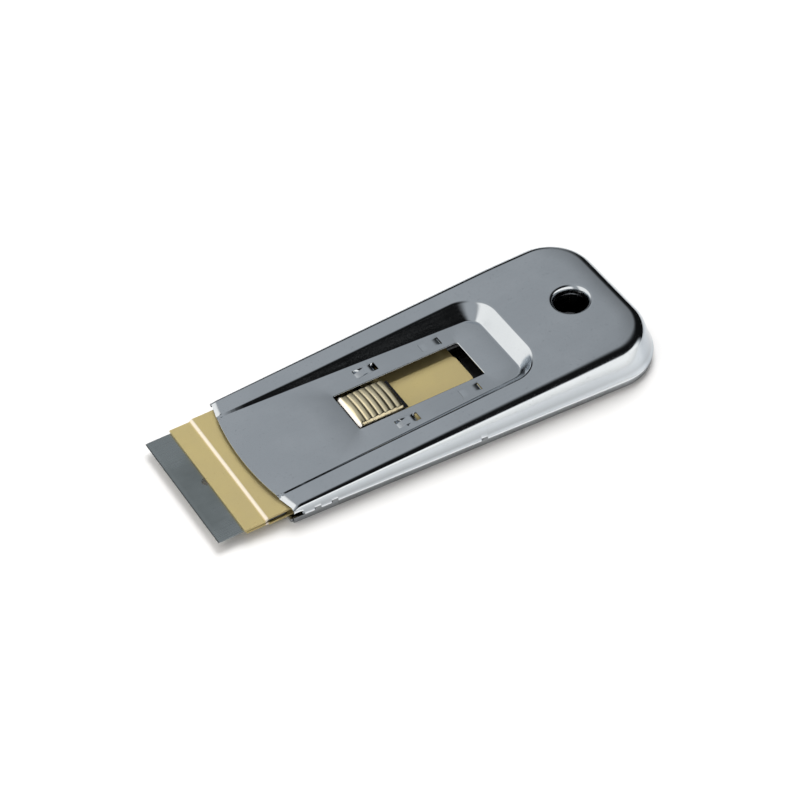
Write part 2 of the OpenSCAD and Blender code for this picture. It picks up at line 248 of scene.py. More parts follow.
def acrossBand(tree, first, last, soft):
    # 1 in a strip across the piece, between two places along it in mm
    spot = addNode(tree, "ShaderNodeTexCoord").outputs["Object"]
    along = addNode(tree, "ShaderNodeSeparateXYZ", {0: spot}).outputs[0]
    into = ramp(tree, along, mouthX + (first - soft) * mm, mouthX + (first + soft) * mm)
    out = ramp(tree, along, mouthX + (last + soft) * mm, mouthX + (last - soft) * mm)
    return maths(tree, "MULTIPLY", into, out)


def platedMetal(name, look):
    # plated or ground steel: colour, gloss and grain vary a little over the surface
    material = bpy.data.materials.new(name)
    material.use_nodes = True
    tree = material.node_tree
    shader = tree.nodes["Principled BSDF"]
    shader.inputs["Metallic"].default_value = look.get("metallic", 1.0)
    grain = addNode(tree, "ShaderNodeGroup", node_tree=rolledGrain)
    grain.inputs["Lines"].default_value = look["lines"]
    marks = addNode(tree, "ShaderNodeGroup", node_tree=handlingMarks)
    marks.inputs["Clouds"].default_value = look["clouds"]
    cloud = marks.outputs["Cloud"]
    pit = marks.outputs["Pit"]
    tint = mixColours(tree, cloud, (*look["colour"], 1), (*look["shade"], 1))
    # painted light in a strip across the piece: highlights on the gold pieces, shade along the blade's edge
    if "paintedLightBand" in look:
        tint = mixColours(tree, acrossBand(tree, *look["paintedLightBand"]), tint, (*look["paintedLightBandColour"], 1))
    # painted shade by the way a face looks: darker on steep faces, near black on faces looking down
    if "undersideShade" in look:
        facing = addNode(tree, "ShaderNodeNewGeometry").outputs["Normal"]
        upward = addNode(tree, "ShaderNodeSeparateXYZ", {0: facing}).outputs[2]
        tint = mixColours(tree, ramp(tree, upward, *look["uprightShadeRange"]), tint, (*look["uprightShade"], 1))
        tint = mixColours(tree, ramp(tree, upward, *look["undersideShadeRange"]), tint, (*look["undersideShade"], 1))
    dusk = maths(tree, "MULTIPLY", pit, look["pitting"])
    tree.links.new(mixColours(tree, dusk, tint, (*look["pitColour"], 1)), shader.inputs["Base Color"])
    lines = ramp(tree, grain.outputs["Grain"], *wear["grain"], -look["roughSpread"], look["roughSpread"])
    gloss = maths(tree, "ADD", lines, ramp(tree, cloud, 0.0, 1.0, look["rough"], look["roughWorn"]))
    tree.links.new(gloss, shader.inputs["Roughness"])
    height = maths(tree, "SUBTRACT", grain.outputs["Grain"], dusk)
    bump = addNode(tree, "ShaderNodeBump",
                   {"Height": height, "Strength": look["bump"], "Distance": wear["depth"]})
    tree.links.new(bump.outputs[0], shader.inputs["Normal"])
    return material


finishes = {
    "brightPlate": {"colour": (0.535, 0.58, 0.625), "shade": (0.505, 0.55, 0.595),
                    "pitColour": (0.3, 0.32, 0.34), "pitting": 0.25, "lines": 1500.0, "clouds": 60.0,
                    "rough": 0.11, "roughWorn": 0.15, "roughSpread": 0.02, "bump": 0.05,
                    # painted shade: darker on steep faces, most low on the skirts, and near black on faces
                    # looking down inside
                    "uprightShade": (0.34, 0.365, 0.39), "uprightShadeRange": (0.46, 0.25),
                    "undersideShade": (0.06, 0.062, 0.065), "undersideShadeRange": (-0.25, -0.6)},
    "basePlate": {"colour": (0.36, 0.38, 0.4), "shade": (0.3, 0.315, 0.33),
                  "pitColour": (0.2, 0.2, 0.21), "pitting": 0.4, "lines": 1300.0, "clouds": 80.0,
                  "rough": 0.2, "roughWorn": 0.3, "roughSpread": 0.03, "bump": 0.12},
    "goldPlate": {"colour": (0.545, 0.45, 0.205), "shade": (0.52, 0.43, 0.207), "metallic": 0.5,
                  "pitColour": (0.4, 0.3, 0.12), "pitting": 0.3, "lines": 1400.0, "clouds": 90.0,
                  "rough": 0.34, "roughWorn": 0.4, "roughSpread": 0.02, "bump": 0.08,
                  # painted highlight: a pale strip across the joggle
                  "paintedLightBand": (-4.15, -3.4, 0.15), "paintedLightBandColour": (0.82, 0.75, 0.63)},
    "paleGold": {"colour": (0.86, 0.78, 0.55), "shade": (0.82, 0.74, 0.5),
                 "pitColour": (0.5, 0.4, 0.2), "pitting": 0.2, "lines": 1200.0, "clouds": 120.0,
                 "rough": 0.28, "roughWorn": 0.34, "roughSpread": 0.02, "bump": 0.05,
                 # painted highlight: a pale strip across the front lip
                 "paintedLightBand": (30.4, 31.5, 0.1), "paintedLightBandColour": (0.84, 0.83, 0.81)},
    "bladeSteel": {"colour": (0.31, 0.35, 0.365), "shade": (0.255, 0.29, 0.3),
                   "pitColour": (0.15, 0.16, 0.17), "pitting": 0.2, "lines": 2000.0, "clouds": 45.0,
                   "rough": 0.26, "roughWorn": 0.36, "roughSpread": 0.04, "bump": 0.1,
                   # painted shade: a dark strip along the honed edge
                   "paintedLightBand": (-17.2, -16.75, 0.08), "paintedLightBandColour": (0.1, 0.11, 0.12)},
    # blackened steel, made near black as painted shade for the gap behind the thumb button and the slit
    # between the carrier's leaves
    "blackSteelAndShade": {"colour": (0.035, 0.035, 0.038), "shade": (0.025, 0.025, 0.028),
                    "pitColour": (0.08, 0.08, 0.085), "pitting": 0.2, "lines": 1500.0, "clouds": 90.0,
                    "rough": 0.25, "roughWorn": 0.33, "roughSpread": 0.03, "bump": 0.1},
}
metal = {name: platedMetal(name, look) for name, look in finishes.items()}
print("materials ready:", ", ".join(metal))


# casing: forms shared by the top shell and the base

casing = {
    "length": 115.2, "mouthWidth": 43.4, "rearFlare": 9.6, "topWidth": 40.4, "mouthHeight": 5.0,
    "rise": 3.112, "mouthRadius": 76.0, "rearCornerRadius": 16.0, "sideStart": -3.0,
    "shoulderMouth": 1.0, "shoulderRear": 3.8, "seamMouth": 2.5, "seamRear": 2.3, "sheet": 0.55, "nest": 0.6,
    "barrel": 12.0, "barrelFade": (0.1, 0.8), "leastBow": 0.01,
    "droop": 0.22, "droopReach": 5.0, "droopStart": 84.0, "droopEnd": 104.0,
    "lugs": (9.1, 13.8, 56.3), "lugLength": 1.8, "lugHeight": 0.7,
    "notchStart": 3.2, "notchEnd": 4.5, "notchRadius": 1.0, "notchHeight": 2.75,
    # steps along a side: growing at the mouth, then even, then over the rest; cut parts two close stations
    "mouthStep": 0.0625, "nearStep": 0.3, "farSpan": (5.0, 96.4), "cut": 0.02,
}
rearX = casing["length"] - casing["rearCornerRadius"]
rearY = (casing["mouthWidth"] + casing["rearFlare"]) / 2 - casing["rearCornerRadius"]
riseRate = math.tan(math.radians(casing["rise"]))


def topHeight(x):
    return casing["mouthHeight"] + x * riseRate


def seamHeight(x):
    return between(casing["seamMouth"], casing["seamRear"], x / casing["length"])


def mouthCurve(y):
    r = casing["mouthRadius"]
    return r - math.sqrt(r * r - y * y)


def uPath(front, rearHalf, cornerRadius, end):
    # half of a U seen from above: side, round corner, rear end
    corner = Vector((end - cornerRadius, rearHalf - cornerRadius))
    reach = Vector((casing["sideStart"], front)) - corner
    lean = math.pi - math.asin(cornerRadius / reach.length) - math.atan2(reach.y, reach.x)
    return {"corner": corner, "radius": cornerRadius, "lean": lean, "front": front}


def pathPoint(path, zone, t, inset=0.0):
    radius = path["radius"] - inset
    if zone == "rear":
        return Vector((path["corner"].x + radius, path["corner"].y * (1 - t))), Vector((1, 0))
    turn = path["lean"] if zone == "side" else between(path["lean"], math.pi / 2, t)
    out = Vector((math.sin(turn), math.cos(turn)))
    spot = path["corner"] + out * radius
    if zone == "side":
        y = path["front"]
        for _ in range(5):
            run = (spot.x - mouthCurve(y)) / out.y
            y = spot.y + out.x * run
        start = Vector((mouthCurve(y), y))
        spot = start.lerp(spot, t)
    return spot, out


shoulderPath = uPath(casing["topWidth"] / 2, casing["topWidth"] / 2, casing["topWidth"] / 2 - rearY,
                     rearX + casing["topWidth"] / 2 - rearY)


def edgeGap(spot):
    # how far a spot on the top lies inside the shoulder's line
    turns = [between(shoulderPath["lean"], math.pi / 2, k / 24) for k in range(25)]
    off = spot - shoulderPath["corner"]
    return shoulderPath["radius"] - max(off.x * math.sin(a) + off.y * math.cos(a) for a in turns)


def droopAt(x):
    return casing["droop"] * smoothStep(casing["droopStart"], casing["droopEnd"], x)


def sideStations():
    # places along a side, closer together at the mouth and doubled at the edges of the lug notches
    spots = [casing["mouthStep"] * k * k for k in range(7)]
    spots += [spots[-1] + casing["nearStep"] * k for k in range(1, 8)]
    spots += [between(*casing["farSpan"], k / 42) for k in range(1, 42)]
    first = mouthCurve(casing["topWidth"] / 2)
    edges = [casing["notchEnd"] + casing["notchRadius"]]
    for lug in casing["lugs"]:
        edges += [lug - casing["lugLength"] / 2, lug + casing["lugLength"] / 2]
    for edge in edges:
        spots += [edge - first - casing["cut"], edge - first + casing["cut"]]
    # the round end of the front notch
    spots += [casing["notchEnd"] + casing["notchRadius"] * share - first for share in (0.5, 0.77, 0.92)]
    spots.append(rearX - first)
    return [s / (rearX - first) for s in sorted(spots)]


stations = [("side", t) for t in sideStations()]
stations += [("corner", k / 16) for k in range(1, 17)]
stations += [("rear", k / 10) for k in range(1, 11)]


def wallSlice(zone, t):
    # the casing's outer wall at one station: shoulder arc, then the leaning, slightly barrelled skirt
    edge, out = pathPoint(shoulderPath, zone, t)
    along = 1.0
    if zone == "side":
        along = (edge.x - casing["sideStart"]) / (rearX - casing["sideStart"])
    radius = between(casing["shoulderMouth"], casing["shoulderRear"], along)
    droop = droopAt(edge.x)
    share = {"side": 1.0, "corner": 1 - smoothStep(*casing["barrelFade"], t), "rear": 0.0}[zone]
    barrel = math.radians(casing["barrel"] * share + casing["leastBow"])
    lead = math.atan(2 * droop / casing["droopReach"])
    centre = Vector((-radius * math.sin(lead), topHeight(edge.x) - droop - radius * math.cos(lead)))
    foot = Vector((between((casing["mouthWidth"] - casing["topWidth"]) / 2,
                           casing["rearCornerRadius"] - shoulderPath["radius"], along), 0))
    reach = foot - centre
    tilt = math.atan2(-reach.y, reach.x) + math.asin(radius / reach.length) - barrel
    tip = centre + radius * Vector((math.sin(tilt), math.cos(tilt)))
    chord = foot - tip
    swing = math.atan2(-chord.y, chord.x) - tilt
    return {"edge": edge, "out": out, "radius": radius, "centre": centre, "lead": lead, "tilt": tilt,
            "tip": tip, "bow": chord.length / (2 * math.sin(swing)), "lean": tilt + swing}


def skirtOut(wall, z):
    # how far out the skirt is at a height
    turn = math.acos(math.cos(wall["tilt"]) + (z - wall["tip"].y) / wall["bow"])
    return wall["tip"].x + wall["bow"] * (math.sin(turn) - math.sin(wall["tilt"]))


def skirtBottom(x):
    # lower edge of the skirt, with the notches for the lugs and the open notch at the front corner
    low = seamHeight(x)
    if any(abs(x - lug) < casing["lugLength"] / 2 for lug in casing["lugs"]):
        return low + casing["lugHeight"]
    past = max(casing["notchStart"] - x, x - casing["notchEnd"], 0.0)
    r = casing["notchRadius"]
    return low if past > r else max(low, casing["notchHeight"] + math.sqrt(r * r - past * past))


topShell = {
    "panelFront": 15.4, "panelRear": 11.95, "panelCorner": 3.6, "panelEnd": 76.3,
    "rimFront": 15.95, "rimRear": 16.6, "rimCorner": 9.0, "rimEnd": 80.5,
    "footRadius": 0.45, "lipRadius": 1.5, "support": 0.3,
    "mouthRound": 0.14, "mouthNear": 0.05, "mouthZone": 2.5, "flare": 0.1, "flareHeight": 0.22,
    "noseLength": 1.9, "noseSlope": 0.55, "noseEase": 0.45,
    "slot": (30.3, 67.5), "slotHalf": 6.55, "slotCorner": 0.4, "slotRoll": 0.25,
    "lances": ({"x": 39.2, "y": 10.35, "front": 0.95, "rear": 0.8, "crest": (0.66, 0.74),
                "slit": 0.4, "hole": 0.5},
               {"x": 58.3, "y": 9.65, "front": 0.06, "rear": 0.3, "crest": (0.3, 0.72),
                "slit": 0.1, "hole": 0.2}),
    "lanceLength": 5.6, "lanceWidth": 2.7, "lanceBend": 1.5, "lanceEase": 0.3,
    "hole": 98.4, "holeRadius": 4.4, "rollStart": 5.7,
    "collarRadius": 0.9, "collarTurn": 57.0, "collarDepth": 2.6, "holeClear": 0.7, "holeReach": 2.6,
}
panelPath = uPath(topShell["panelFront"], topShell["panelRear"], topShell["panelCorner"],
                  topShell["panelEnd"])
rimPath = uPath(topShell["rimFront"], topShell["rimRear"], topShell["rimCorner"], topShell["rimEnd"])


def recessWall(run, rise, footRadius, lipRadius):
    # side view of the recess: foot fillet, straight wall, rounded lip; both rounds shrink on a short wall
    shrink = min(1.0, 0.9 * run / (footRadius + lipRadius))
    footRadius *= shrink
    lipRadius *= shrink
    # the lean at which rounds and wall just fill the run, found by halving
    low, high = 0.005, math.pi / 2
    for _ in range(40):
        lean = (low + high) / 2
        if (footRadius + lipRadius) * math.tan(lean / 2) + rise / math.tan(lean) > run:
            low = lean
        else:
            high = lean
    foot = [(footRadius * math.sin(lean * k / 4), footRadius * (1 - math.cos(lean * k / 4)))
            for k in range(5)]
    lip = [(run - lipRadius * math.sin(lean * k / 9), rise - lipRadius * (1 - math.cos(lean * k / 9)))
           for k in range(9, -1, -1)]
    wall = [Vector(foot[-1]).lerp(Vector(lip[0]), k / 3)[:] for k in (1, 2)]
    return foot + wall + lip


def noseBend(spot, z, weight):
    # the rims' front ends round down to the mouth
    back = spot.x - mouthCurve(min(abs(spot.y), casing["topWidth"] / 2))
    past = max(0.0, 1 - back / topShell["noseLength"])
    ease = topShell["noseEase"]
    drop = topShell["noseSlope"] * topShell["noseLength"] * (math.hypot(ease, past) - ease)
    return spot.x, spot.y, z - drop * weight


def shellSlice(zone, t):
    # points of the drawn sheet at one station, from the panel out to the skirt's lower edge
    floor = pathPoint(panelPath, zone, t)[0]
    rim = pathPoint(rimPath, zone, t)[0]
    wall = wallSlice(zone, t)
    panelZ = casing["mouthHeight"]
    spots = [(pathPoint(panelPath, zone, t, topShell["support"])[0], panelZ, 0.0)]
    run = (rim - floor).length
    rise = max(topHeight(rim.x) - panelZ, 0.001)
    section = recessWall(run, rise, topShell["footRadius"], topShell["lipRadius"])
    for k, (u, w) in enumerate(section):
        spots.append((floor.lerp(rim, u / run), panelZ + w, k / (len(section) - 1)))
    # flat top, drooping towards the shoulder at the rear
    flat = (wall["edge"] - rim).length
    soft = casing["droopReach"]
    inner = flat - soft if flat > 1.5 * soft else 0.4 * flat
    steps = [inner * k / 4 for k in range(1, 5)] + [between(inner, flat, k / 4) for k in range(1, 4)]
    for step in (topShell["support"], *steps, flat - topShell["support"]):
        spot = rim.lerp(wall["edge"], step / flat)
        close = max(0.0, 1 - edgeGap(spot) / soft)
        spots.append((spot, topHeight(spot.x) - droopAt(spot.x) * close * close, 1.0))
    for k in range(13):
        turn = between(wall["lead"], wall["tilt"], k / 12)
        spot = wall["edge"] + wall["out"] * (wall["centre"].x + wall["radius"] * math.sin(turn))
        spots.append((spot, wall["centre"].y + wall["radius"] * math.cos(turn), math.cos(turn)))
    tip = spots[-1][1]
    bottom = skirtBottom(wall["edge"].x)
    for share in (0.25, 0.5, 0.75, 1.0):
        z = between(tip, bottom + topShell["flareHeight"], share)
        spots.append((wall["edge"] + wall["out"] * skirtOut(wall, z), z, 0.0))
    hem = wall["out"] * (skirtOut(wall, bottom) + topShell["flare"])
    spots.append((wall["edge"] + hem, bottom, 0.0))
    return [Vector(noseBend(*spot)) for spot in spots]


def pressHalf(bm, ring, slices, rim):
    # presses one half through its slices, mirrors it, and gives the open edge along the marked rim
    for v in pressSheet(bm, len(slices[0]) - 1, len(slices) - 1, lambda i, j: slices[j][i]):
        v[ring] = next((1 for s in slices if (v.co - s[rim]).length < 1e-4), 0)
    bmesh.ops.mirror(bm, geom=bm.verts[:] + bm.edges[:] + bm.faces[:], axis="Y", merge_dist=1e-4)
    return [e for e in bm.edges if e.is_boundary and all(v[ring] for v in e.verts)]


def mouthEdge(bm, ring):
    # front edge of the panel, along the curved mouth
    ends = [v for v in bm.verts if v[ring] and v.co.x < topShell["mouthZone"]
            and abs(v.co.x - mouthCurve(v.co.y)) < 1e-3]
    ends.sort(key=lambda v: v.co.y)
    count = 24
    span = [between(ends[0].co.y, ends[1].co.y, k / count) for k in range(1, count)]
    middle, front = chain(bm, [(mouthCurve(y), y, casing["mouthHeight"]) for y in span])
    return front + [bm.edges.new((ends[0], middle[0])), bm.edges.new((middle[-1], ends[1]))]


def thumbSlot(bm):
    # the slot's rolled edge: gives the line where it leaves the panel
    panelZ = casing["mouthHeight"]
    roll = topShell["slotRoll"]
    corner = topShell["slotCorner"]
    half = topShell["slotHalf"]
    lowX, highX = topShell["slot"]
    core = (lowX + corner, corner - half), (highX - corner, half - corner)
    edge = roundedLoop(lowX - roll, highX + roll, -half - roll, half + roll, corner + roll, 6, panelZ)
    slot = chain(bm, edge, True)[1]
    lined = slot
    for k in range(1, 6):
        turn = math.radians(18 * k)
        reach = corner + roll * (1 - math.sin(turn))
        z = panelZ - roll * (1 - math.cos(turn))
        lined = drawLoop(bm, lined, lambda c: rimPoint(c, *core, reach, z))
    return slot


def lancedBump(bm, lance, middleY):
    # a strip between two cuts, pressed down at both ends: gives the edges around it
    panelZ = casing["mouthHeight"]
    wide = topShell["lanceWidth"] / 2
    length = topShell["lanceLength"]
    columns, rows = 16, 14

    def trough(i, j):
        across = between(-1.0, 1.0, i / columns)
        first, last = lance["crest"]
        depth = lance["front"] * max(0.0, 1 - j / rows / first) ** topShell["lanceBend"]
        depth += lance["rear"] * max(0.0, (j / rows - last) / (1 - last)) ** topShell["lanceBend"]
        return Vector((lance["x"] + length * j / rows, middleY + wide * across,
                       panelZ - depth * smoothStep(0.0, topShell["lanceEase"], 1 - abs(across))))

    def atSide(v):
        return abs(abs(v.co.y - middleY) - wide) < 1e-4
    strip = pressSheet(bm, columns, rows, trough)
    window = list({e for v in strip for e in v.link_edges if all(atSide(w) for w in e.verts)})
    lanceEnd = lance["x"] + length
    for endX, farX in ((lance["x"], lance["x"] - lance["slit"]), (lanceEnd, lanceEnd + lance["hole"])):
        near = [v for v in strip if abs(v.co.x - endX) < 1e-4 and atSide(v)]
        near.sort(key=lambda v: v.co.y)
        far = [bm.verts.new((farX, v.co.y, panelZ)) for v in near]
        window += [bm.edges.new((near[0], far[0])), bm.edges.new((far[0], far[1])),
                   bm.edges.new((far[1], near[1]))]
    return window


def hangingHole(bm):
    # the sheet rolls in and down into a collar
    centre = Vector((topShell["hole"], 0, topHeight(topShell["hole"])))
    tilt = Matrix.Translation(centre) @ Matrix.Rotation(-math.radians(casing["rise"]), 4, "Y")
    rollStart = topShell["rollStart"]
    clear = rollStart + topShell["support"]
    near = clear + topShell["holeClear"]
    gone = [f for f in bm.faces if any((v.co - centre).length < near for v in f.verts)]
    bmesh.ops.delete(bm, geom=gone, context="FACES")
    around = topShell["holeReach"] * clear
    torn = [e for e in bm.edges if e.is_boundary and (e.verts[0].co - centre).length < around]
    circle = bmesh.ops.create_circle(bm, segments=96, radius=clear, matrix=tilt)["verts"]
    lined = list({e for v in circle for e in v.link_edges})
    upward = tilt.to_3x3() @ Vector((0, 0, 1))
    bmesh.ops.triangle_fill(bm, use_beauty=True, edges=torn + lined, normal=upward)
    bend = topShell["collarRadius"]
    turns = [math.radians(topShell["collarTurn"] * k / 8) for k in range(9)]
    profile = [(rollStart - bend * math.sin(a), bend * (1 - math.cos(a))) for a in turns]
    coneDepth = profile[-1][1] + (profile[-1][0] - topShell["holeRadius"]) * math.tan(turns[-1])
    profile += [(topShell["holeRadius"], coneDepth), (topShell["holeRadius"], topShell["collarDepth"])]
    for radius, depth in profile:
        def sunk(c):
            flat = tilt.inverted() @ c
            turn = math.atan2(flat.y, flat.x)
            return tilt @ Vector((radius * math.cos(turn), radius * math.sin(turn), -depth))
        lined = drawLoop(bm, lined, sunk)


def roundMouth(bm):
    # takes the sharpness off the mouth's upper edge
    def onMouth(v):
        curve = mouthCurve(min(abs(v.co.y), casing["topWidth"] / 2))
        return abs(v.co.x - curve) < topShell["mouthNear"]
    edges = [e for e in bm.edges if all(onMouth(v) for v in e.verts) and e.is_manifold
             and e.calc_face_angle() > math.radians(50) and any(f.normal.z > 0.5 for f in e.link_faces)]
    bmesh.ops.bevel(bm, geom=edges, offset=topShell["mouthRound"], offset_type="OFFSET", segments=3,
                    profile=0.5, affect="EDGES", material=-1, clamp_overlap=True)


def makeTopShell():
    bm = bmesh.new()
    ring = bm.verts.layers.int.new("ring")
    edges = pressHalf(bm, ring, [shellSlice(zone, t) for zone, t in stations], 0)
    edges += mouthEdge(bm, ring)
    edges += thumbSlot(bm)
    for lance in topShell["lances"]:
        for side in (1, -1):
            edges += lancedBump(bm, lance, side * lance["y"])
    bmesh.ops.triangle_fill(bm, use_beauty=True, edges=edges, normal=(0, 0, 1))
    hangingHole(bm)
    bmesh.ops.remove_doubles(bm, verts=bm.verts[:], dist=1e-4)
    faceUp(bm, (20, 0, casing["mouthHeight"]))
    bmesh.ops.solidify(bm, geom=bm.faces[:], thickness=casing["sheet"])
    bm.normal_update()
    roundMouth(bm)
    finishPiece(bm, "topShell", "casing", ["top_shell"], metal["brightPlate"])


makeTopShell()


# base tray under the casing

baseTray = {"flange": 1.1, "front": 2.6, "footRadius": 0.35, "hole": 5.3, "support": 0.3,
            "beadY": 9.5, "beadStart": 6.2, "beadEnd": 85.7, "beadHalf": 1.2, "beadTop": 0.75,
            "beadHeight": 0.65, "hemRadius": 0.52, "hemWidth": 41.5, "hemRound": 0.25,
            "lugPlay": 0.2, "lugLift": 0.2, "lugOut": 0.2}


def baseSlice(zone, t):
    wall = wallSlice(zone, t)
    x = wall["edge"].x
    foot = baseTray["footRadius"]
    inward = casing["nest"] / math.sin(wall["lean"])
    top = seamHeight(x) + baseTray["flange"]
    if x < casing["notchEnd"] + casing["notchRadius"]:
        top = casing["notchHeight"] - casing["notchRadius"]
    spots = []
    for z in (between(top, foot, k / 4) for k in range(5)):
        spots.append((skirtOut(wall, z) - inward, z))
    middle = spots[-1][0] - foot
    spots += [(middle + foot * math.cos(math.radians(15 * k)), foot - foot * math.sin(math.radians(15 * k)))
              for k in range(1, 7)]
    spots.append((middle - baseTray["support"], 0.0))
    points = []
    for u, z in spots:
        flat = wall["edge"] + wall["out"] * u
        points.append(Vector((max(flat.x, baseTray["front"]), flat.y, z)))
    return points


def trayFloor(bm, edges):
    # flat floor with the hole under the hanging hole and two runner beads pressed up
    place = Matrix.Translation((topShell["hole"], 0, 0))
    circle = bmesh.ops.create_circle(bm, segments=72, radius=baseTray["hole"], matrix=place)["verts"]
    edges += list({e for v in circle for e in v.link_edges})
    start, end = baseTray["beadStart"], baseTray["beadEnd"]
    beads = []
    for y in (baseTray["beadY"], -baseTray["beadY"]):
        half = baseTray["beadHalf"]
        bead = chain(bm, roundedLoop(start - half, end + half, y - half, y + half, half, 10, 0.0), True)[1]
        edges += bead
        beads.append((y, bead))
    bmesh.ops.triangle_fill(bm, use_beauty=True, edges=edges, normal=(0, 0, -1))
    for y, bead in beads:
        for share in (0.15, 0.5, 0.85, 1.0):
            half = between(baseTray["beadHalf"], baseTray["beadTop"], share)
            z = baseTray["beadHeight"] * smoothStep(0.0, 1.0, share)
            bead = drawLoop(bm, bead, lambda c: rimPoint(c, (start, y), (end, y), half, z))
        bmesh.ops.triangle_fill(bm, use_beauty=True, edges=bead, normal=(0, 0, -1))


def hemFront(bm):
    # the front edge, rolled into a bead
    r = baseTray["hemRadius"]
    across = Matrix.Translation((baseTray["front"], 0, r)) @ Matrix.Rotation(math.pi / 2, 4, "X")
    hem = bmesh.ops.create_cone(bm, cap_ends=True, segments=24, radius1=r, radius2=r,
                                depth=baseTray["hemWidth"], matrix=across)
    rims = [e for e in {e for v in hem["verts"] for e in v.link_edges}
            if abs(e.verts[0].co.y - e.verts[1].co.y) < 1e-6]
    bmesh.ops.bevel(bm, geom=rims, offset=baseTray["hemRound"] * r, segments=3, profile=0.5,
                    affect="EDGES", material=-1)


def standLugs(bm):
    # the lugs that stand in the skirt's notches
    play = baseTray["lugPlay"]
    first = mouthCurve(casing["topWidth"] / 2)
    size = Matrix.Diagonal((casing["lugLength"] - 2 * play, casing["sheet"] + play, casing["lugHeight"], 1))
    for lug in casing["lugs"]:
        wall = wallSlice("side", (lug - first) / (rearX - first))
        z = seamHeight(lug) + baseTray["lugLift"]
        y = wall["edge"].y + skirtOut(wall, z) - casing["nest"]
        for side in (1, -1):
            spot = Matrix.Translation((lug, side * (y + baseTray["lugOut"]), z))
            bmesh.ops.create_cube(bm, size=1.0, matrix=spot @ size)


def makeBase():
    bm = bmesh.new()
    ring = bm.verts.layers.int.new("ring")
    edges = pressHalf(bm, ring, [baseSlice(zone, t) for zone, t in stations], -1)
    tips = sorted((v for v in bm.verts if v[ring]), key=lambda v: v.co.x)[:2]
    edges.append(bm.edges.new(tips))
    trayFloor(bm, edges)
    bmesh.ops.remove_doubles(bm, verts=bm.verts[:], dist=1e-4)
    faceUp(bm, (45, 0, 0))
    bmesh.ops.reverse_faces(bm, faces=bm.faces[:])
    bmesh.ops.solidify(bm, geom=bm.faces[:], thickness=casing["sheet"])
    hemFront(bm)
    standLugs(bm)
    finishPiece(bm, "baseTray", "casing", ["base_shell"], metal["basePlate"])


makeBase()


# blade carrier

carrier = {"headHalf": 19.5, "tailCorner": 1.5, "leaf": 0.6, "edge": 0.05, "bend": 0.35, "cut": 0.005,
           "lip": (-9.9, 2.515), "joggle": (-4.15, -3.4), "bridge": 3.2, "drop": (2.9, 4.1), "strip": 1.85,
           "clampHead": 12.85, "stripHalf": 5.2, "stripEnd": 65.6,
           "slideFront": (-9.4, 1.635), "slideStep": (-3.535, -3.15), "slide": 1.25, "slideHead": 13.85,
           "slideTail": 12.5, "slideEnd": 65.6, "rivetX": 9.35, "rivetY": 9.0}


def makeLeaf(name, node, path, headEnd, tailHalf):
    # a bent sheet: wide head, then a narrower tail with round corners
    path = roundedPath(path, carrier["bend"])
    last = path.pop()
    corner = carrier["tailCorner"]
    path += [Vector((headEnd - carrier["cut"], last.y)), Vector((headEnd + carrier["cut"], last.y))]
    path += [Vector((last.x - corner + corner * math.sin(math.radians(9 * k)), last.y)) for k in range(11)]
    columns = 8

    def bent(i, j):
        x, z = path[i]
        past = max(0.0, x - (last.x - corner))
        half = tailHalf - corner + math.sqrt(max(corner * corner - past * past, 0.0))
        if x < headEnd:
            half = carrier["headHalf"]
        return Vector((x, half * between(-1.0, 1.0, j / columns), z))
    bm = bmesh.new()
    pressSheet(bm, len(path) - 1, columns, bent)
    faceUp(bm, (30, 0, last.y))
    bmesh.ops.reverse_faces(bm, faces=bm.faces[:])
    bmesh.ops.solidify(bm, geom=bm.faces[:], thickness=carrier["leaf"])
    roundEdges(bm, carrier["edge"])
    finishPiece(bm, name, "carrier", [node], metal["goldPlate"], 12)


makeLeaf("clampLeaf", "clamp_leaf",
         [carrier["lip"], (carrier["joggle"][0], carrier["lip"][1]),
          (carrier["joggle"][1], carrier["bridge"]), (carrier["drop"][0], carrier["bridge"]),
          (carrier["drop"][1], carrier["strip"]), (carrier["stripEnd"], carrier["strip"])],
         carrier["clampHead"], carrier["stripHalf"])
makeLeaf("slidePlate", "slide_plate",
         [carrier["slideFront"], (carrier["slideStep"][0], carrier["slideFront"][1]),
          (carrier["slideStep"][1], carrier["slide"]), (carrier["slideEnd"], carrier["slide"])],
         carrier["slideHead"], carrier["slideTail"])


rivets = {"shank": 1.45, "head": 2.62, "headHeight": 0.6, "springX": 21.3, "springSeat": 2.75}


def makeRivets(name, node, spots, low, seat):
    # shank and a low domed head, turned about each rivet's axis
    turns = [math.radians(10 * k) for k in range(10)]
    dome = [(rivets["head"] * math.cos(a), seat + rivets["headHeight"] * math.sin(a)) for a in turns]
    outline = [(0.0, low), (rivets["shank"], low), (rivets["shank"], seat), *dome]
    bm = bmesh.new()
    for x, y in spots:
        verts, edges = chain(bm, [(x + r, y, z) for r, z in outline])
        bmesh.ops.spin(bm, geom=verts + edges, cent=(x, y, 0), axis=(0, 0, 1), angle=2 * math.pi,
                       steps=36, use_merge=True)
    bmesh.ops.remove_doubles(bm, verts=bm.verts[:], dist=1e-4)
    bmesh.ops.recalc_face_normals(bm, faces=bm.faces[:])
    finishPiece(bm, name, "carrier", [node], metal["goldPlate"])


makeRivets("leafRivets", "leaf_rivets",
           [(carrier["rivetX"], carrier["rivetY"]), (carrier["rivetX"], -carrier["rivetY"])],
           carrier["slide"], carrier["strip"] + carrier["leaf"])
makeRivets("springRivet", "spring_rivet", [(rivets["springX"], 0.0)], carrier["strip"],
           rivets["springSeat"])


# razor blade

razor = {"edge": -17.0, "bevel": 1.1, "back": 1.615, "half": 19.05, "z": 2.235, "thick": 0.23, "keen": 0.02,
         "hole": -9.9, "holeRadius": 1.25, "spineStart": -2.8, "spineEnd": 2.0, "spineLow": 1.85,
         "spineHigh": 2.85, "spineBend": 0.48, "fold": 0.385}


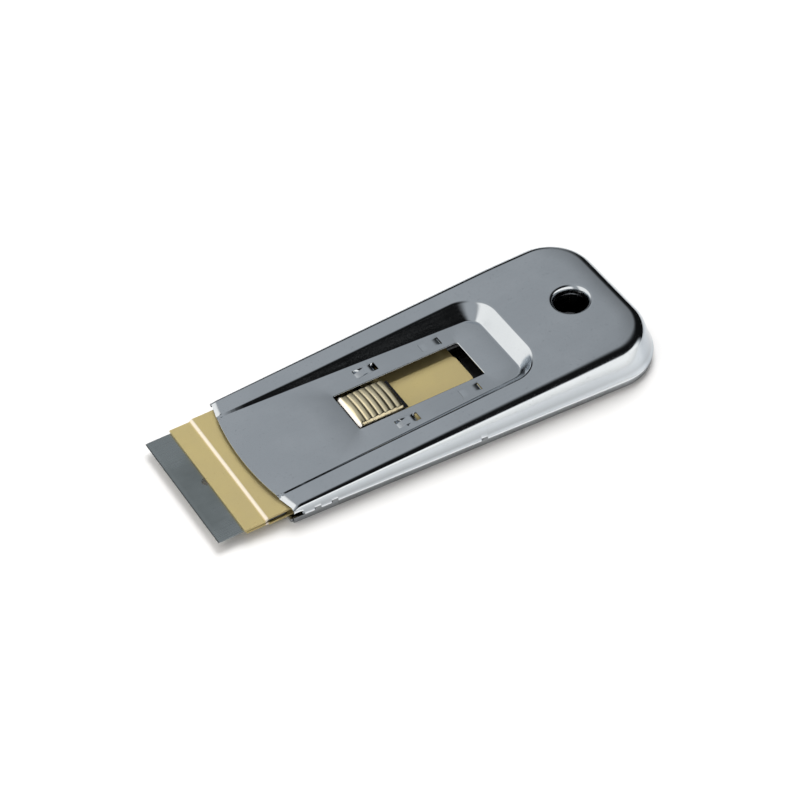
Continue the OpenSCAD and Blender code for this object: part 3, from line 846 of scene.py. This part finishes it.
def makeBlade():
    bm = bmesh.new()
    high = razor["z"] + razor["thick"]
    shoulder = razor["edge"] + razor["bevel"]
    rim = chain(bm, [(shoulder, -razor["half"], high), (razor["back"], -razor["half"], high),
                     (razor["back"], razor["half"], high), (shoulder, razor["half"], high)], True)[1]
    circle = bmesh.ops.create_circle(bm, segments=48, radius=razor["holeRadius"],
                                     matrix=Matrix.Translation((razor["hole"], 0, high)))["verts"]
    edges = rim + list({e for v in circle for e in v.link_edges})
    bmesh.ops.triangle_fill(bm, use_beauty=True, edges=edges, normal=(0, 0, 1))
    faceUp(bm, (-14, 5, high))
    bmesh.ops.solidify(bm, geom=bm.faces[:], thickness=razor["thick"])
    # the front wall is drawn out to the keen edge
    front = [f for f in bm.faces if all(abs(v.co.x - shoulder) < 1e-5 for v in f.verts)]
    out = bmesh.ops.extrude_face_region(bm, geom=front)["geom"]
    bmesh.ops.delete(bm, geom=front, context="FACES_ONLY")
    middle = razor["z"] + razor["thick"] / 2
    for v in (g for g in out if isinstance(g, bmesh.types.BMVert)):
        v.co = Vector((razor["edge"], v.co.y, middle + (v.co.z - middle) * razor["keen"] / razor["thick"]))
    bmesh.ops.recalc_face_normals(bm, faces=bm.faces[:])
    finishPiece(bm, "razorBlade", "carrier", ["blade"], metal["bladeSteel"], 3)


def makeSpine():
    # the steel strip folded over the back of the blade
    bm = bmesh.new()
    path = roundedPath([(razor["spineStart"], razor["spineHigh"]), (razor["spineEnd"], razor["spineHigh"]),
                        (razor["spineEnd"], razor["spineLow"]), (razor["spineStart"], razor["spineLow"])],
                       razor["spineBend"], 8)
    pressSheet(bm, len(path) - 1, 4, lambda i, j: Vector((
        path[i].x, razor["half"] * between(-1.0, 1.0, j / 4), path[i].y)))
    faceUp(bm, (0, 0, razor["spineHigh"]))
    bmesh.ops.solidify(bm, geom=bm.faces[:], thickness=razor["fold"])
    # the near-black steel is painted shade for the slit between the carrier's leaves
    finishPiece(bm, "bladeSpine", "carrier", ["blade_spine"], metal["blackSteelAndShade"])


makeBlade()
makeSpine()


# thumb button and the spring that carries it

button = {"front": 30.7, "length": 13.3, "half": 5.8, "flat": 5.1, "top": 5.9, "fall": 0.6,
          "endDrop": 0.96, "endRound": 0.45, "arch": 0.35, "ribs": 7, "ribHeight": 0.26,
          "riser": (0.78, 0.7), "riserCrown": 0.4, "wall": 0.3}


def buttonCrown():
    # the crown seen from the front: a wide arc with a chamfer at each end
    arc = [(button["flat"] * k / 12, -button["fall"] * (k / 12) ** 2) for k in range(12)]
    corner = (button["flat"], -button["fall"])
    tip = (button["half"], -button["fall"] - button["endDrop"])
    points = arc + [p[:] for p in roundedPath([arc[-1], corner, tip], button["endRound"], 6)[1:-1]]
    points += [tuple(Vector(points[-1]).lerp(Vector(tip), k / 3)) for k in (1, 2, 3)]
    return [(-y, z) for y, z in points[:0:-1]] + points


def makeButton():
    run, rise = button["riser"]
    ribStart = button["front"] + run
    pitch = (button["length"] - run) / button["ribs"]
    ribRadius = ((pitch / 2) ** 2 + button["ribHeight"] ** 2) / (2 * button["ribHeight"])
    middle = button["front"] + button["length"] / 2

    def archAt(x):
        return -button["arch"] * ((x - middle) / (button["length"] / 2)) ** 2
    valley = button["top"] - button["ribHeight"] + archAt(ribStart)
    path = [(between(button["front"], ribStart, t), between(valley - rise, valley, t), button["riserCrown"])
            for t in (0.0, 0.3, 0.6, 0.95)]
    for rib in range(button["ribs"]):
        for k in range(10):
            off = between(-0.5, 0.5, k / 10) * pitch
            x = ribStart + (rib + 0.5) * pitch + off
            lift = math.sqrt(ribRadius ** 2 - off ** 2) - ribRadius
            share = between(button["riserCrown"], 1.0, smoothStep(0.0, 0.5 * pitch, x - ribStart))
            path.append((x, button["top"] + lift + archAt(x), share))
    rear = button["front"] + button["length"]
    path.append((rear, button["top"] - button["ribHeight"] + archAt(rear), 1.0))
    crown = buttonCrown()
    bm = bmesh.new()
    pressSheet(bm, len(path) - 1, len(crown) - 1, lambda i, j: Vector((
        path[i][0], crown[j][0], path[i][1] + crown[j][1] * path[i][2])))
    faceUp(bm, (37, 0, button["top"]))
    bmesh.ops.solidify(bm, geom=bm.faces[:], thickness=button["wall"])
    finishPiece(bm, "thumbButton", "thumb", ["thumb_button"], metal["paleGold"], 60)


spring = {"start": 17.3, "landEnd": 25.3, "riseEnd": 32.2, "low": 2.45, "high": 3.5, "bend": 3.0,
          "thick": 0.3, "cut": 0.02, "half": 3.5, "earStart": 36.4, "earEnd": 38.6, "earHalf": 11.7,
          "barStart": 44.13, "tip": 45.4, "barHalf": 5.3}


def makeSpring():
    bm = bmesh.new()
    low = spring["low"]
    high = spring["high"]
    cut = spring["cut"]
    earStart = spring["earStart"]
    earEnd = spring["earEnd"]
    barStart = spring["barStart"]
    path = roundedPath([(spring["start"], low), (spring["landEnd"], low), (spring["riseEnd"], high),
                        (spring["tip"], high)], spring["bend"])
    stops = (earStart, earStart + cut, earEnd - cut, earEnd, barStart, barStart + cut, spring["tip"])
    path = path[:-1] + [Vector((x, high)) for x in stops]

    def strip(i, j):
        x, z = path[i]
        half = spring["half"]
        if earStart + cut / 2 < x < earEnd - cut / 2:
            half = spring["earHalf"]
        if x > barStart + cut / 2:
            half = spring["barHalf"]
        return Vector((x, half * between(-1.0, 1.0, j / 6), z))
    pressSheet(bm, len(path) - 1, 6, strip)
    faceUp(bm, (20, 0, low))
    bmesh.ops.reverse_faces(bm, faces=bm.faces[:])
    bmesh.ops.solidify(bm, geom=bm.faces[:], thickness=spring["thick"])
    # the near-black steel is painted shade for the gap behind the thumb button
    piece = finishPiece(bm, "lockSpring", None, ["lock_spring"], metal["blackSteelAndShade"])
    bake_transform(piece)


makeButton()
makeSpring()


# studio: camera, floor, sky and lamps

view = {"target": (46.622, 0.76, 0.0), "distance": 632.1, "azimuth": -31.622, "elevation": 46.067,
        "lens": 111.12}


def makeCamera():
    azimuth = math.radians(view["azimuth"])
    elevation = math.radians(view["elevation"])
    away = Vector((math.sin(azimuth) * math.cos(elevation), -math.cos(azimuth) * math.cos(elevation),
                   math.sin(elevation)))
    data = bpy.data.cameras.new("camera")
    data.lens = view["lens"]
    data.clip_start = 0.01
    camera = bpy.data.objects.new("camera", data)
    camera.location = Vector((mouthX, 0, 0)) + (Vector(view["target"]) + away * view["distance"]) * mm
    camera.rotation_euler = (math.pi / 2 - elevation, 0, azimuth)
    scene.collection.objects.link(camera)
    scene.camera = camera


studio = {
    "grey": 0.52, "dark": 0.008, "tint": (0.985, 1.0, 1.012), "whiteTint": (1.05, 1.0, 0.94),
    # black cards: near right, right end, far side; each with the direction of its middle and its soft edge
    "cards": (((0.453, -0.553, 0.7), 0.6, 0.93), ((0.963, 0.12, 0.241), 0.55, 0.86),
              ((0.2, 0.97, 0.1), 0.88, 0.95)),
    # white card at the far left
    "patch": ((-0.8, 0.42, 0.43), 0.62, 0.84), "patchLevel": 1.4,
    # bright near side, duller down at the horizon
    "glow": ((0.2, -1.0, 0.0), 0.35, 0.7), "glowHeight": (0.5, 0.36),
    "glowFoot": 1.2, "glowLevel": 1.55, "glowLow": (0.0, 0.16),
    # floor and lamps: sizes and distances in metres
    "floorColour": 0.94, "floorGloss": 0.3, "floorLift": 0.02, "floorSize": 12.0, "floorGap": 0.00002,
    "keyFrom": (0.42, 0.52, 0.74), "keyDistance": 1.1, "keySize": (0.75, 0.75), "keyPower": 11.5,
    "fillFrom": (0.0, 0.2, 1.0), "fillDistance": 1.2, "fillSize": (1.4, 1.4), "fillPower": 1.85,
}


def makeSky():
    world = bpy.data.worlds.new("studioSky")
    scene.world = world
    world.use_nodes = True
    tree = world.node_tree
    back = tree.nodes["Background"]
    way = addNode(tree, "ShaderNodeTexCoord").outputs["Generated"]
    height = addNode(tree, "ShaderNodeSeparateXYZ", {0: way}).outputs[2]

    def card(axis, start, full):
        aim = addNode(tree, "ShaderNodeVectorMath", {0: way, 1: axis}, operation="DOT_PRODUCT")
        return ramp(tree, aim.outputs["Value"], start, full)
    level = studio["grey"]
    for black in studio["cards"]:
        level = maths(tree, "MULTIPLY", maths(tree, "SUBTRACT", 1.0, card(*black)), level)
    level = maths(tree, "ADD", level, studio["dark"])
    glow = maths(tree, "MULTIPLY", card(*studio["glow"]), ramp(tree, height, *studio["glowHeight"]))
    strong = ramp(tree, height, *studio["glowLow"], studio["glowFoot"], studio["glowLevel"])
    level = maths(tree, "MAXIMUM", level, maths(tree, "MULTIPLY", glow, strong))
    patch = card(*studio["patch"])
    level = maths(tree, "MAXIMUM", level, maths(tree, "MULTIPLY", patch, studio["patchLevel"]))
    tree.links.new(level, back.inputs["Strength"])
    white = maths(tree, "MAXIMUM", glow, patch)
    colour = mixColours(tree, white, (*studio["tint"], 1), (*studio["whiteTint"], 1))
    tree.links.new(colour, back.inputs["Color"])


def makeFloor():
    bm = bmesh.new()
    bmesh.ops.create_grid(bm, x_segments=4, y_segments=4, size=studio["floorSize"] / 2)
    mesh = bpy.data.meshes.new("floor")
    bm.to_mesh(mesh)
    bm.free()
    mesh.transform(Matrix.Translation((0, 0, -studio["floorGap"])))
    floor = bpy.data.objects.new("floor", mesh)
    scene.collection.objects.link(floor)
    material = bpy.data.materials.new("paleFloor")
    material.use_nodes = True
    tree = material.node_tree
    tree.nodes.clear()
    level = studio["floorColour"]
    paper = addNode(tree, "ShaderNodeBsdfPrincipled",
                    {"Base Color": (level, level, level, 1), "Roughness": studio["floorGloss"]})
    paths = addNode(tree, "ShaderNodeLightPath")
    seen = maths(tree, "MAXIMUM", paths.outputs["Is Camera Ray"], paths.outputs["Is Glossy Ray"])
    seen = maths(tree, "MAXIMUM", seen, paths.outputs["Is Transmission Ray"])
    strength = maths(tree, "MULTIPLY", seen, studio["floorLift"])
    lift = addNode(tree, "ShaderNodeEmission", {"Strength": strength})
    both = addNode(tree, "ShaderNodeAddShader", {0: paper.outputs[0], 1: lift.outputs[0]})
    addNode(tree, "ShaderNodeOutputMaterial", {"Surface": both.outputs[0]})
    mesh.materials.append(material)


def makeLamp(name):
    data = bpy.data.lights.new(name, "AREA")
    data.shape = "RECTANGLE"
    data.size, data.size_y = studio[name + "Size"]
    data.energy = studio[name + "Power"]
    lamp = bpy.data.objects.new(name, data)
    away = Vector(studio[name + "From"]).normalized()
    lamp.location = away * studio[name + "Distance"]
    lamp.rotation_euler = away.to_track_quat("Z", "Y").to_euler()
    lamp.visible_glossy = False
    scene.collection.objects.link(lamp)


makeCamera()
makeSky()
makeFloor()
makeLamp("key")
makeLamp("fill")
scene.view_settings.view_transform = "Standard"
print("studio ready")
